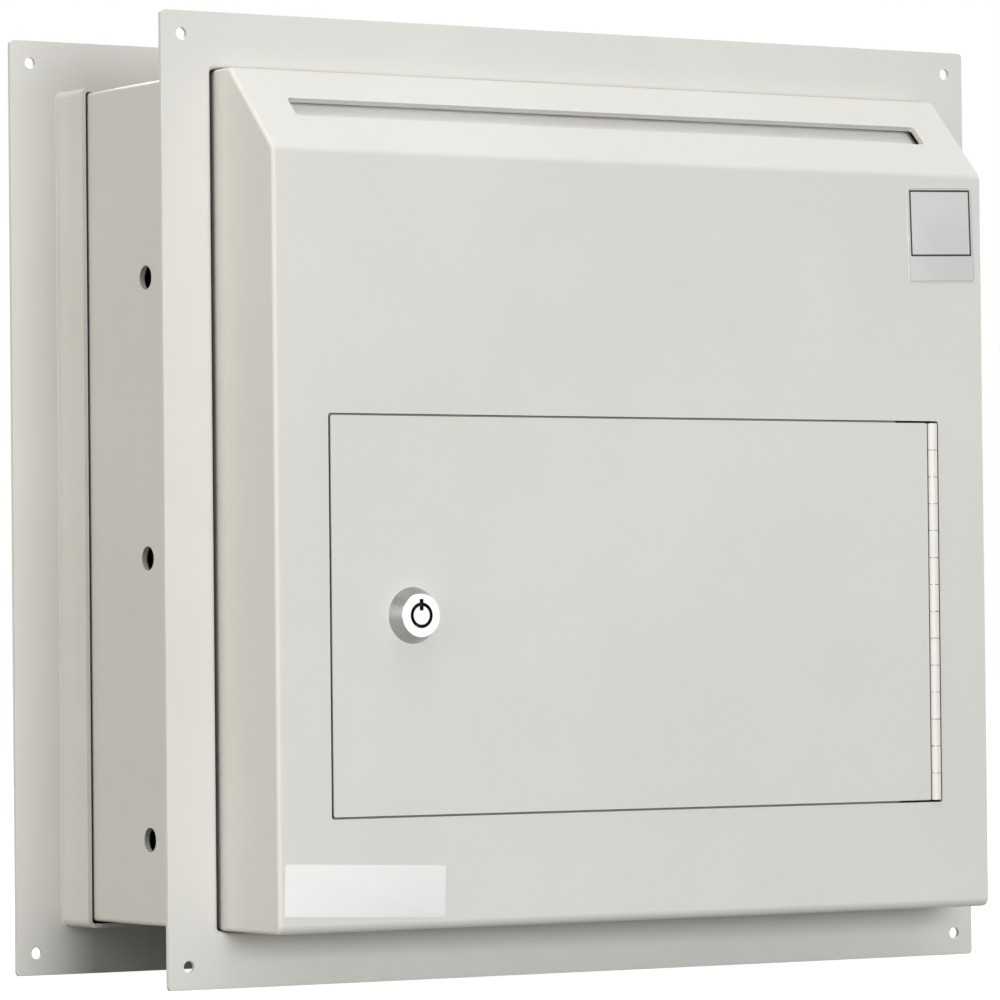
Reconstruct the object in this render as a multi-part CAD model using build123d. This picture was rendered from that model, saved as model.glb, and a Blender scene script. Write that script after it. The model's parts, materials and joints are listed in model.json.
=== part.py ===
from build123d import *
import math
import os

# Through-the-wall drop box: a steel box with a deposit slot and a locked door
# outside, and a second unit with its own locked door inside, which slides on the
# tail of the first one to suit the wall. Millimetres, +Z up, the outside face
# looks along -Y. The origin is the middle of the outside flange's back face,
# which seats on the wall.

# Box: one folded sheet for bottom, front, slope and top, and two welded sides
box_width = 384.0
box_height = 381.0
box_sheet = 2.5
box_bend = 1.5  # inside radius of the folds
flat_top_run = 12.7  # flat part of the top, ahead of the flange
slope_run = 38.1
slope_rise = 38.1
side_edge_round = 1.8  # ground weld along the rim of each side
box_tail = 160.0  # how far the box runs back from the wall face

# Flanges, outside and inside, each with a collar turned into the wall opening
flange_side_rim = 27.0  # from the side of the box to the edge of the flange
flange_top_rim = 25.5  # the same above and below the box
flange_sheet = 2.0
flange_bend = 0.8
flange_corner = 2.0
collar_depth = 25.4
collar_corner = 1.6
screw_hole_diameter = 5.4
screw_hole_inset = 10.3
front_collar_gap = 1.5  # side groove between box and outside collar

# Wall thickness as shown, and the sliding fit of the inside unit
wall_as_shown = 143.0
slide_gap_side = 1.2
slide_gap_top = 0.3
slide_gap_bottom = 1.2

# Anchor holes in both sides of the box
anchor_hole_diameter = 11.1
anchor_hole_count = 3
anchor_hole_depth = 63.5  # behind the wall face
anchor_hole_offset = -25.0  # the middle hole, from the middle of the box

# Deposit slot in the slope
slot_end_land = 21.5  # from the side of the box to the end of the slot
slot_width = 12.5
slot_drop = 19.6  # down the slope, from its top fold to the slot
slot_corner = 1.5

# Baffle behind the slot
baffle_end_gap = 18.0  # from the outside of the box's side to the baffle
baffle_sheet = 1.5
baffle_bend = 1.5
baffle_gap = 4.5  # between the slope and the baffle
baffle_lip = 16.0  # flange welded under the flat top
baffle_fold_drop = 24.0  # from the top of the box to the lower fold
baffle_leg = 46.0

# Rear pan of the inside unit
pan_depth = 42.0  # behind the back of the inside flange
pan_bend = 1.5

# Doors: the same door, hinge and lock outside and inside
opening_side_land = 26.9  # from the side of the box to the opening
opening_lift = 49.5  # from the bottom of the box to the opening
opening_drop = 153.7  # from the top of the box to the opening
door_sheet = 2.5
door_gap = 1.0
door_proud = 0.3  # the shut door's clearance to its stop
door_corner = 1.0

# Stop frame welded behind each opening
stop_sheet = 2.0
stop_reach = 9.0  # inward, past the edge of the opening
stop_land = 10.0  # outward, welded to the panel
stop_end_gap = 1.2  # to the hinge leaf

# Piano hinge
hinge_pin_diameter = 3.0
hinge_pin_clearance = 0.05
hinge_leaf_sheet = 1.2
hinge_leaf_width = 15.0
hinge_side_gap = 0.6  # between barrel and door, and barrel and panel
hinge_knuckle_pitch = 12.7
hinge_knuckle_gap = 0.3

# Tubular cam lock
lock_from_edge = 41.2  # from the free edge of the door
lock_head_base_diameter = 25.0
lock_head_face_diameter = 19.0
lock_head_height = 7.4
lock_face_round = 0.45
lock_barrel_diameter = 19.0
lock_barrel_flats = 16.0
lock_barrel_length = 14.5
lock_fit = 0.05
keyway_diameter = 11.3
keyway_pin_diameter = 8.2
keyway_depth = 6.0
keyway_notch_width = 1.9
keyway_notch_outer = 1.55
keyway_notch_inner = 2.0
plug_collar_diameter = 14.0
plug_end_play = 0.1
tumbler_count = 7
tumbler_diameter = 1.2
tumbler_length = 1.8
lock_nut_flats = 23.8
lock_nut_thickness = 4.0
tail_diameter = 7.0
tail_flats = 5.2
stud_diameter = 5.0
stud_overhang = 1.0
cam_gap = 0.3  # barrel to cam
cam_sheet = 2.0
cam_width = 14.0
cam_bend = 1.2
cam_hub_round = 6.5
cam_reach = 41.0
cam_stop_gap = 0.7  # between the turned cam and the back of the stop
cam_ramp_start = 17.0
cam_ramp_length = 8.0
cam_tip_corner = 3.0
cam_washer_diameter = 10.0
cam_washer_thickness = 0.8
cam_nut_flats = 8.0
cam_nut_thickness = 4.0

# Places worked out from the sizes above
half_width = box_width / 2
half_height = box_height / 2
slope_length = math.hypot(slope_run, slope_rise)
front_face_y = -(flange_sheet + flat_top_run + slope_run)
rear_flange_front_y = wall_as_shown
rear_flange_back_y = rear_flange_front_y + flange_sheet
rear_face_y = rear_flange_back_y + pan_depth

flange_width = box_width + 2 * flange_side_rim
flange_height = box_height + 2 * flange_top_rim
anchor_hole_pitch = box_height / anchor_hole_count
slot_length = box_width - 2 * slot_end_land
baffle_width = box_width - 2 * baffle_end_gap

opening_left = -half_width + opening_side_land
opening_right = half_width - opening_side_land
opening_bottom = -half_height + opening_lift
opening_top = half_height - opening_drop

hinge_barrel_radius = hinge_pin_diameter / 2 + hinge_pin_clearance + hinge_leaf_sheet
hinge_slot = 2 * (hinge_barrel_radius + hinge_side_gap)
hinge_x = opening_right - hinge_slot / 2
hinge_y = box_sheet - hinge_barrel_radius + hinge_leaf_sheet  # behind the panel's face

door_left = opening_left + door_gap
door_right = opening_right - hinge_slot
door_bottom = opening_bottom + door_gap
door_top = opening_top - door_gap
door_height = door_top - door_bottom
door_front_y = box_sheet - door_sheet - door_proud
door_leaf_edge = hinge_x - hinge_slot / 2 - hinge_leaf_width

hinge_knuckle_count = max(3, int(door_height / hinge_knuckle_pitch + 0.5))
knuckle_pitch = door_height / hinge_knuckle_count

tolerance = 0.001  # for picking edges by their place

lock_x = door_left + lock_from_edge
lock_z = (door_bottom + door_top) / 2


def silhouette(inset):
    """Side outline of the box, moved inward by so much: four corners from the
    bottom fold to the top fold, and the two rear ends."""
    front = front_face_y + inset
    slope_foot = half_height - slope_rise - inset * (slope_length - slope_rise) / slope_run
    slope_head = front_face_y + slope_run + inset * (slope_length - slope_run) / slope_rise
    top = half_height - inset
    return [
        (box_tail, -top),
        (front, -top),
        (front, slope_foot),
        (slope_head, top),
        (box_tail, top),
    ]


def folded_sheet(points, sheet, inside_radius, width):
    """Sheet of one thickness folded along a middle line given in the YZ plane,
    as wide as asked, centred on X."""
    with BuildSketch(Plane.YZ) as section:
        with BuildLine():
            FilletPolyline(*points, radius=inside_radius + sheet / 2)
        trace(line_width=sheet)
    return extrude(section.sketch, amount=width / 2, both=True)


def panel(left, right, bottom, top, front, sheet, corner=0.0):
    """Flat upright plate with its corners rounded, from its front face backward."""
    centre = ((left + right) / 2, front, (bottom + top) / 2)
    plane = Plane(origin=centre, x_dir=(1, 0, 0), z_dir=(0, -1, 0))
    if corner > 0:
        outline = RectangleRounded(right - left, top - bottom, corner)
    else:
        outline = Rectangle(right - left, top - bottom)
    return extrude(plane * outline, amount=-sheet)


def post_y(diameter, start, length, x=0.0, z=0.0):
    """Round bar or hole along +Y."""
    plane = Plane(origin=(x, start, z), x_dir=(1, 0, 0), z_dir=(0, 1, 0))
    return extrude(plane * Circle(diameter / 2), amount=length)


def flatted_y(diameter, flats, start, length):
    """Round bar or hole along +Y, made flat on its two sides."""
    slab = Pos(0, start + length / 2, 0) * Box(flats, length, diameter)
    return post_y(diameter, start, length) & slab


def hexagon_y(flats, start, length):
    """Six-sided prism along +Y."""
    plane = Plane(origin=(0, start, 0), x_dir=(1, 0, 0), z_dir=(0, 1, 0))
    return extrude(plane * RegularPolygon(flats / 2, 6, major_radius=False), amount=length)


def slot_cutter():
    """Cutter square to the slope, the size of the deposit slot."""
    outward = Vector(0, -slope_rise, slope_run) / slope_length
    down = Vector(0, -slope_run, -slope_rise) / slope_length
    top_fold = Vector(0, front_face_y + slope_run, half_height)
    middle = top_fold + down * (slot_drop + slot_width / 2)
    plane = Plane(origin=middle, x_dir=(1, 0, 0), z_dir=outward)
    outline = plane * RectangleRounded(slot_length, slot_width, slot_corner)
    return extrude(outline, amount=2 * box_sheet, both=True)


def door_cutter():
    """Cutter for the door opening in a panel whose face is at y = 0."""
    return panel(opening_left, opening_right, opening_bottom, opening_top,
                 -box_sheet, 3 * box_sheet, door_corner)


def make_box_wrap():
    """Bottom, front, slope and top folded from one sheet, with slot and opening."""
    wrap = folded_sheet(silhouette(box_sheet / 2), box_sheet, box_bend,
                        box_width - 2 * box_sheet)
    return wrap - slot_cutter() - Pos(0, front_face_y, 0) * door_cutter()


def make_box_side(direction):
    """One side of the box, -1 for left and +1 for right, with its anchor holes."""
    outline = Polyline(*silhouette(0), close=True)
    face = Plane.YZ * make_face(outline)
    folds = face.vertices().filter_by(lambda v: v.Y < box_tail - box_sheet)
    face = fillet(folds, box_bend + box_sheet)
    side = Pos(direction * half_width, 0, 0) * extrude(face, amount=-direction * box_sheet)
    outside = side.faces().sort_by(Axis.X)[-1 if direction > 0 else 0]
    rim = outside.edges().filter_by(lambda e: e.center().Y < box_tail - box_sheet)
    side = fillet(rim, side_edge_round)
    middle = (anchor_hole_count - 1) / 2
    for index in range(anchor_hole_count):
        height = anchor_hole_offset + (index - middle) * anchor_hole_pitch
        side -= (Pos(direction * half_width, anchor_hole_depth, height)
                 * Rot(0, 90, 0) * Cylinder(anchor_hole_diameter / 2, 3 * box_sheet))
    return side


def make_flange(side_gap, top_gap, bottom_gap):
    """Flange plate in front of the plane y = 0, with a collar turned back from its
    opening. The opening clears the box by the three gaps."""
    opening = (box_width + 2 * side_gap, box_height + top_gap + bottom_gap)
    shift = (top_gap - bottom_gap) / 2
    front = Plane(origin=(0, -flange_sheet, 0), x_dir=(1, 0, 0), z_dir=(0, -1, 0))
    collar_outline = RectangleRounded(opening[0] + 2 * flange_sheet, opening[1] + 2 * flange_sheet,
                                      collar_corner + flange_sheet)
    hole_outline = RectangleRounded(*opening, collar_corner)
    plate = extrude(front * RectangleRounded(flange_width, flange_height, flange_corner),
                    amount=-flange_sheet)
    reach = -(collar_depth + flange_sheet)
    flange = plate + extrude(front * Pos(0, shift) * collar_outline, amount=reach)
    flange -= extrude(front * Pos(0, shift) * hole_outline, amount=reach)
    behind_plate = flange.edges().filter_by_position(Axis.Y, -tolerance, tolerance)
    fold = behind_plate.filter_by(
        lambda e: abs(e.center().X) < opening[0] / 2 + flange_sheet + tolerance
        and abs(e.center().Z) < opening[1] / 2 + abs(shift) + flange_sheet + tolerance)
    flange = fillet(fold, flange_bend)
    front_rim = flange.faces().sort_by(Axis.Y)[0].inner_wires()[0].edges()
    flange = fillet(front_rim, flange_bend + flange_sheet)
    for across in (-1, 1):
        for up in (-1, 1):
            flange -= post_y(screw_hole_diameter, -2 * flange_sheet, 3 * flange_sheet,
                             across * (flange_width / 2 - screw_hole_inset),
                             up * (flange_height / 2 - screw_hole_inset))
    return flange


def make_baffle():
    """Plate behind the slot, hung from the flat top, that keeps hands and hooks out."""
    middle_gap = box_sheet + baffle_gap + baffle_sheet / 2
    line_shift = middle_gap * slope_length / slope_rise
    lip_z = half_height - box_sheet - baffle_sheet / 2
    slope_head = front_face_y + slope_run + line_shift
    lip_y = slope_head - (half_height - lip_z) * slope_run / slope_rise
    fold_z = half_height - baffle_fold_drop
    fold_y = slope_head - baffle_fold_drop * slope_run / slope_rise
    points = [(lip_y + baffle_lip, lip_z), (lip_y, lip_z), (fold_y, fold_z),
              (fold_y, fold_z - baffle_leg)]
    return folded_sheet(points, baffle_sheet, baffle_bend, baffle_width)


def make_rear_pan():
    """Pan behind the inside flange: four walls and the rear face in one sheet, with
    the opening of the inside door. Built as it stands, facing +Y."""
    inner_width = box_width + 2 * slide_gap_side
    inner_height = box_height + slide_gap_top + slide_gap_bottom
    shift = (slide_gap_top - slide_gap_bottom) / 2
    outer = Box(inner_width + 2 * box_sheet, pan_depth, inner_height + 2 * box_sheet)
    hollow = Pos(0, -box_sheet, 0) * Box(inner_width, pan_depth, inner_height)
    outer = fillet(folded_edges(outer), pan_bend + box_sheet)
    hollow = fillet(folded_edges(hollow), pan_bend)
    pan = Pos(0, rear_flange_back_y + pan_depth / 2, shift) * (outer - hollow)
    return pan - Pos(0, rear_face_y, 0) * turned(door_cutter())


def folded_edges(block):
    """Every edge of a block but those round its open, lowest-Y side."""
    low = block.bounding_box().min.Y
    return block.edges().filter_by(lambda e: e.center().Y > low + tolerance)


def make_stop():
    """Stop frame behind a panel whose face is at y = 0: a strip above, below and at
    the lock side, which the shut door rests on and the cam catches."""
    stop = panel(opening_left - stop_land, door_leaf_edge - stop_end_gap,
                 opening_bottom - stop_land, opening_top + stop_land, box_sheet, stop_sheet)
    clear = panel(opening_left + stop_reach, door_right, opening_bottom + stop_reach,
                  opening_top - stop_reach, box_sheet, stop_sheet)
    return stop - clear


def make_hinge_leaf(direction, first_knuckle, setback):
    """Hinge leaf with every second knuckle rolled round the pin. It runs to +X or
    -X; its plate is moved forward by the setback."""
    bore = hinge_pin_diameter / 2 + hinge_pin_clearance
    plate_front = hinge_barrel_radius - hinge_leaf_sheet - setback
    root = hinge_barrel_radius + hinge_side_gap / 2
    end = hinge_slot / 2 + hinge_leaf_width
    leaf = (Pos(direction * (root + end) / 2, plate_front + hinge_leaf_sheet / 2, door_height / 2)
            * Box(end - root, hinge_leaf_sheet, door_height))
    knuckle_length = knuckle_pitch - hinge_knuckle_gap
    for index in range(first_knuckle, hinge_knuckle_count, 2):
        middle = (index + 0.5) * knuckle_pitch
        tube = Pos(0, 0, middle) * Cylinder(hinge_barrel_radius, knuckle_length)
        web = (Pos(direction * root / 2, plate_front + hinge_leaf_sheet / 2, middle)
               * Box(root, hinge_leaf_sheet, knuckle_length))
        leaf += tube + web
    leaf -= Cylinder(bore, 4 * door_height)
    return Pos(hinge_x, hinge_y, door_bottom) * leaf


def make_hinge_pin():
    """Pin through all the knuckles."""
    pin = Cylinder(hinge_pin_diameter / 2, door_height, align=(Align.CENTER, Align.CENTER, Align.MIN))
    return Pos(hinge_x, hinge_y, door_bottom) * pin


def make_door():
    """Flat door with the hole of its lock, flat on two sides so that it can't turn."""
    door = panel(door_left, door_right, door_bottom, door_top, door_front_y, door_sheet, door_corner)
    hole = flatted_y(lock_barrel_diameter, lock_barrel_flats, -door_sheet, 3 * door_sheet)
    return door - Pos(lock_x, door_front_y, lock_z) * hole


def revolved_y(points):
    """Solid of revolution about the Y axis from (radius, y) corners."""
    return revolve(make_face(Polyline(*points, close=True)), Axis.Y)


def lock_levels():
    """Distances behind the door's face: front of the cam's hub, of its tip, of the
    washer, of the cam nut, and the end of the stud."""
    hub = lock_barrel_length + cam_gap
    tip = door_sheet + door_proud + stop_sheet + cam_stop_gap
    washer = hub + cam_sheet
    nut = washer + cam_washer_thickness
    end = nut + cam_nut_thickness + stud_overhang
    return hub, tip, washer, nut, end


def make_lock_body():
    """Conical head and threaded barrel, bored for the plug, with the key notch."""
    base = lock_head_base_diameter / 2
    face = lock_head_face_diameter / 2
    body = revolved_y([(0, -lock_head_height), (face, -lock_head_height), (base, 0), (0, 0)])
    face_rim = body.edges().sort_by(Axis.Y)[0]
    body = fillet(face_rim, lock_face_round)
    body += flatted_y(lock_barrel_diameter, lock_barrel_flats, 0, lock_barrel_length)
    body -= post_y(keyway_diameter, -lock_head_height, keyway_depth)
    bore_front = keyway_depth - lock_head_height
    body -= post_y(plug_collar_diameter + 2 * lock_fit, bore_front, lock_barrel_length - bore_front)
    notch_top = keyway_diameter / 2 + keyway_notch_outer
    body -= Pos(0, -lock_head_height, notch_top / 2) * Box(
        keyway_notch_width, 2 * keyway_depth, notch_top)
    return body


def collar_front():
    """Front of the plug's collar, behind the door's face, just clear of its bore."""
    return keyway_depth - lock_head_height + plug_end_play


def make_lock_plug():
    """Turning core: keyway pin with its notch, collar, flatted tail and stud."""
    _, _, washer, _, end = lock_levels()
    collar = collar_front()
    plug = post_y(keyway_pin_diameter, -lock_head_height, keyway_depth + plug_end_play)
    plug += post_y(plug_collar_diameter, collar, lock_barrel_length - collar)
    plug += flatted_y(tail_diameter, tail_flats, lock_barrel_length, washer - lock_barrel_length)
    plug += post_y(stud_diameter, washer, end - washer)
    pin_top = keyway_pin_diameter / 2
    plug -= Pos(0, -lock_head_height, pin_top) * Box(
        keyway_notch_width, 2 * keyway_depth, 2 * keyway_notch_inner)
    return plug


def make_tumblers():
    """Ring of tumbler pins at the bottom of the keyway."""
    ring = (keyway_diameter + keyway_pin_diameter) / 4
    front = collar_front() - tumbler_length
    pins = []
    for index in range(tumbler_count):
        angle = 2 * math.pi * (index + 0.5) / tumbler_count
        pins.append(post_y(tumbler_diameter, front, tumbler_length,
                           ring * math.sin(angle), ring * math.cos(angle)))
    return Compound(children=pins)


def make_lock_nut():
    """Thin nut that clamps the lock to the door."""
    nut = hexagon_y(lock_nut_flats, door_sheet, lock_nut_thickness)
    return nut - flatted_y(lock_barrel_diameter, lock_barrel_flats, door_sheet, lock_nut_thickness)


def make_cam():
    """Cam hanging down from the plug's tail, set forward to reach the stop."""
    hub, tip, _, _, _ = lock_levels()
    hub_y = hub + cam_sheet / 2
    tip_y = tip + cam_sheet / 2
    points = [(hub_y, cam_width / 2), (hub_y, -cam_ramp_start),
              (tip_y, -cam_ramp_start - cam_ramp_length), (tip_y, -cam_reach)]
    cam = folded_sheet(points, cam_sheet, cam_bend, cam_width)
    cam = fillet(cam.edges().filter_by(Axis.Y).sort_by(Axis.Z)[-2:], cam_hub_round)
    cam = fillet(cam.edges().filter_by(Axis.Y).sort_by(Axis.Z)[:2], cam_tip_corner)
    return cam - flatted_y(tail_diameter, tail_flats, hub, cam_sheet)


def make_cam_washer():
    """Washer under the cam nut."""
    front = lock_levels()[2]
    disc = post_y(cam_washer_diameter, front, cam_washer_thickness)
    return disc - post_y(stud_diameter, front, cam_washer_thickness)


def make_cam_nut():
    """Nut on the end of the plug's stud."""
    front = lock_levels()[3]
    nut = hexagon_y(cam_nut_flats, front, cam_nut_thickness)
    return nut - post_y(stud_diameter, front, cam_nut_thickness)


def turned(shape):
    """Half a turn about Z: what faces -Y then faces +Y."""
    return Rot(0, 0, 180) * shape


def door_set():
    """Every piece of one door, for a panel whose face is at y = 0 and looks to -Y."""
    lock_place = Pos(lock_x, door_front_y, lock_z)
    return {
        "door_stop": make_stop(),
        "hinge_frame_leaf": make_hinge_leaf(1, 0, 0.0),
        "hinge_door_leaf": make_hinge_leaf(-1, 1, door_proud),
        "hinge_pin": make_hinge_pin(),
        "door_panel": make_door(),
        "lock_body": lock_place * make_lock_body(),
        "lock_nut": lock_place * make_lock_nut(),
        "lock_plug": lock_place * make_lock_plug(),
        "lock_tumblers": lock_place * make_tumblers(),
        "lock_cam": lock_place * make_cam(),
        "lock_cam_washer": lock_place * make_cam_washer(),
        "lock_cam_nut": lock_place * make_cam_nut(),
    }


def all_parts():
    """Every sub-part by name, in its place."""
    parts = {
        "box_wrap": make_box_wrap(),
        "box_side_left": make_box_side(-1),
        "box_side_right": make_box_side(1),
        "front_flange": make_flange(front_collar_gap, 0.0, 0.0),
        "deposit_baffle": make_baffle(),
        "rear_flange": Pos(0, rear_flange_front_y, 0) * turned(
            make_flange(slide_gap_side, slide_gap_top, slide_gap_bottom)),
        "rear_pan": make_rear_pan(),
    }
    for name, shape in door_set().items():
        parts["front_" + name] = Pos(0, front_face_y, 0) * shape
        parts["rear_" + name] = Pos(0, rear_face_y, 0) * turned(shape)
    return parts


def main():
    os.makedirs("parts", exist_ok=True)
    for name, shape in all_parts().items():
        export_step(shape, f"parts/{name}.step")


main()
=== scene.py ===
import json
import logging
import math
from dataclasses import dataclass
from enum import Enum

import bmesh
import bpy
from mathutils import Matrix, Vector


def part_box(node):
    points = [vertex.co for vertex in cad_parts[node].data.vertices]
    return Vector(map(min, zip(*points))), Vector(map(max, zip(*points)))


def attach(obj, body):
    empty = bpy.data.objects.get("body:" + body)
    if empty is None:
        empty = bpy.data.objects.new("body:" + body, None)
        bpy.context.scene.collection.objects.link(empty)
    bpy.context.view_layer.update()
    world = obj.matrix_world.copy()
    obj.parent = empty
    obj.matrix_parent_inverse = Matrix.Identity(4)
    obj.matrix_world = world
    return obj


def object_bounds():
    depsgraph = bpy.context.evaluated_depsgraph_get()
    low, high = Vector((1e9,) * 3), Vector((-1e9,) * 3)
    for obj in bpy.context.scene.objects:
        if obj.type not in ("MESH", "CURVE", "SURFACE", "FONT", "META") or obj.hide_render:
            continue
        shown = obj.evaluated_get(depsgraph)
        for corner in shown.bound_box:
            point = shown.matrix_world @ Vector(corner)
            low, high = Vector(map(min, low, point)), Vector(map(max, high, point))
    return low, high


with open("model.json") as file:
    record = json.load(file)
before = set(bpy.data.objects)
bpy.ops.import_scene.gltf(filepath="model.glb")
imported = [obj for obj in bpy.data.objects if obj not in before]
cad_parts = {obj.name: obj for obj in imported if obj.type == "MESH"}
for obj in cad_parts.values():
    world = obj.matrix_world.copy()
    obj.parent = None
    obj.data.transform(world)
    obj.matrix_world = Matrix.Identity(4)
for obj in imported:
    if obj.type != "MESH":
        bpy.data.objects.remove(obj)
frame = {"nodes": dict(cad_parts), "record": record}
cad_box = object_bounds()

# Looks of the through-the-wall drop box. Metres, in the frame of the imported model:
# +Z up, the outside face looks along -Y, the inside unit is at +Y.

MM = 0.001
log = logging.getLogger("drop_box")

Colour = tuple[float, float, float]
Point = tuple[float, float, float]
Pair = tuple[float, float]
Socket = bpy.types.NodeSocket
Node = bpy.types.Node
Tree = bpy.types.NodeTree
Material = bpy.types.Material
Mesh = bmesh.types.BMesh
Piece = bpy.types.Object
Finishes = dict[str, Material]
Walls = tuple[Vector, Vector]
Run = tuple[Vector, Vector, Walls]


class Side(Enum):
    """The two doors of the box: the prefix of their nodes."""

    OUTSIDE = "front"
    INSIDE = "rear"

    @property
    def facing(self) -> float:
        """Sign of Y in the direction that this door faces."""
        return -1.0 if self is Side.OUTSIDE else 1.0

    def node(self, piece: str) -> str:
        """Full name of one of this door's CAD nodes or pieces."""
        return f"{self.value}_{piece}"

    @property
    def door_body(self) -> str:
        """Body that this side's door rides on."""
        return self.node("door")

    @property
    def carrier(self) -> str:
        """Body that carries this side's hinge and stop frame."""
        return "main_box" if self is Side.OUTSIDE else "rear_unit"


class Lay(Enum):
    """How the marks of a metal finish run."""

    TURNED = "turned"
    DRAWN = "drawn"
    PLATED = "plated"


class Graph:
    """A node tree with short ways to add nodes and join sockets."""

    def __init__(self, tree: Tree) -> None:
        """Keep the node tree of a material, a world or a group."""
        self.tree = tree

    @classmethod
    def of(cls, owner: Material | bpy.types.World) -> "Graph":
        """Clear the nodes of a material or a world.

        Args:
            owner: the material or world.

        Returns:
            Its empty graph.
        """
        owner.use_nodes = True
        owner.node_tree.nodes.clear()
        return cls(owner.node_tree)

    def add(self, kind: str, **settings: object) -> Node:
        """Add one node.

        Args:
            kind: node type name.
            **settings: properties to set on it.

        Returns:
            The new node.
        """
        node = self.tree.nodes.new(kind)
        for name, value in settings.items():
            setattr(node, name, value)
        return node

    def feed(self, target: Socket, source: object) -> None:
        """Join a socket to a target, or set the target's own value.

        Args:
            target: input socket.
            source: output socket, number or tuple.
        """
        if isinstance(source, Socket):
            self.tree.links.new(source, target)
        else:
            target.default_value = source

    def calc(self, operation: str, first: object, second: object = 0.0) -> Socket:
        """One Math node.

        Args:
            operation: name of the Math operation.
            first: first operand.
            second: second operand, where the operation has one.

        Returns:
            Its result.
        """
        node = self.add("ShaderNodeMath", operation=operation)
        self.feed(node.inputs[0], first)
        self.feed(node.inputs[1], second)
        return node.outputs[0]

    def vector(self, operation: str, first: object, second: object) -> Node:
        """One Vector Math node with two operands.

        Args:
            operation: name of the Vector Math operation.
            first: first operand.
            second: second operand.

        Returns:
            The node, whose outputs are a vector and a value.
        """
        node = self.add("ShaderNodeVectorMath", operation=operation)
        self.feed(node.inputs[0], first)
        self.feed(node.inputs[1], second)
        return node

    def span(self, value: Socket, low: object, high: object,
             start: float = 0.0, end: float = 1.0) -> Socket:
        """Map a value smoothly from one range to another, clamped.

        Args:
            value: what to map.
            low: value that gives start.
            high: value that gives end.
            start: lowest result.
            end: highest result.

        Returns:
            The mapped value.
        """
        node = self.add("ShaderNodeMapRange", interpolation_type="SMOOTHSTEP")
        for socket, source in zip(node.inputs, (value, low, high, start, end)):
            self.feed(socket, source)
        return node.outputs[0]

    def blend(self, share: object, first: object, second: object, mode: str = "MIX") -> Socket:
        """Mix two colours.

        Args:
            share: part of the second colour, 0 to 1.
            first: first colour.
            second: second colour.
            mode: blend mode.

        Returns:
            The mixed colour.
        """
        node = self.add("ShaderNodeMix", data_type="RGBA", blend_type=mode)
        self.feed(node.inputs[0], share)
        self.feed(node.inputs[6], first)
        self.feed(node.inputs[7], second)
        return node.outputs[2]

    def tint(self, colour: Socket, mask: Socket, share: float, tone: Colour) -> Socket:
        """Lay a share of a tone over a colour, where a mask from 0 to 1 has it."""
        return self.blend(self.calc("MULTIPLY", mask, share), colour, (*tone, 1.0))

    def noise(self, place: Socket, scale: object, detail: float = 2.0, roughness: float = 0.5) -> Socket:
        """Noise over the surface.

        Args:
            place: coordinates.
            scale: waves per metre.
            detail: octaves.
            roughness: share of the finer octaves.

        Returns:
            A value round 0.5.
        """
        node = self.add("ShaderNodeTexNoise")
        self.feed(node.inputs["Vector"], place)
        self.feed(node.inputs["Scale"], scale)
        node.inputs["Detail"].default_value = detail
        node.inputs["Roughness"].default_value = roughness
        return node.outputs[0]

    def around(self, value: Socket, middle: float, spread: float, span: Pair = (0.0, 1.0)) -> Socket:
        """Let a number vary round its middle, by a spread each way, as a mask goes through its span."""
        return self.span(value, *span, middle - spread, middle + spread)

    def effect(self, group: Tree, **values: object) -> bpy.types.NodeOutputs:
        """Place one of the shared effects.

        Args:
            group: the effect's node group.
            **values: its inputs, by name.

        Returns:
            The outputs of the placed group.
        """
        node = self.add("ShaderNodeGroup", node_tree=group)
        for name, value in values.items():
            self.feed(node.inputs[name.replace("_", " ")], value)
        return node.outputs

    def bump(self, shader: Node, height: Socket, strength: float, depth: float) -> None:
        """Give a shader a bumped normal.

        Args:
            shader: the Principled BSDF.
            height: height over the surface, 0 to 1.
            strength: strength of the bump.
            depth: real depth of the relief in metres.
        """
        node = self.add("ShaderNodeBump")
        node.inputs["Strength"].default_value = strength
        node.inputs["Distance"].default_value = depth
        self.feed(node.inputs["Height"], height)
        self.feed(shader.inputs["Normal"], node.outputs[0])


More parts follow.
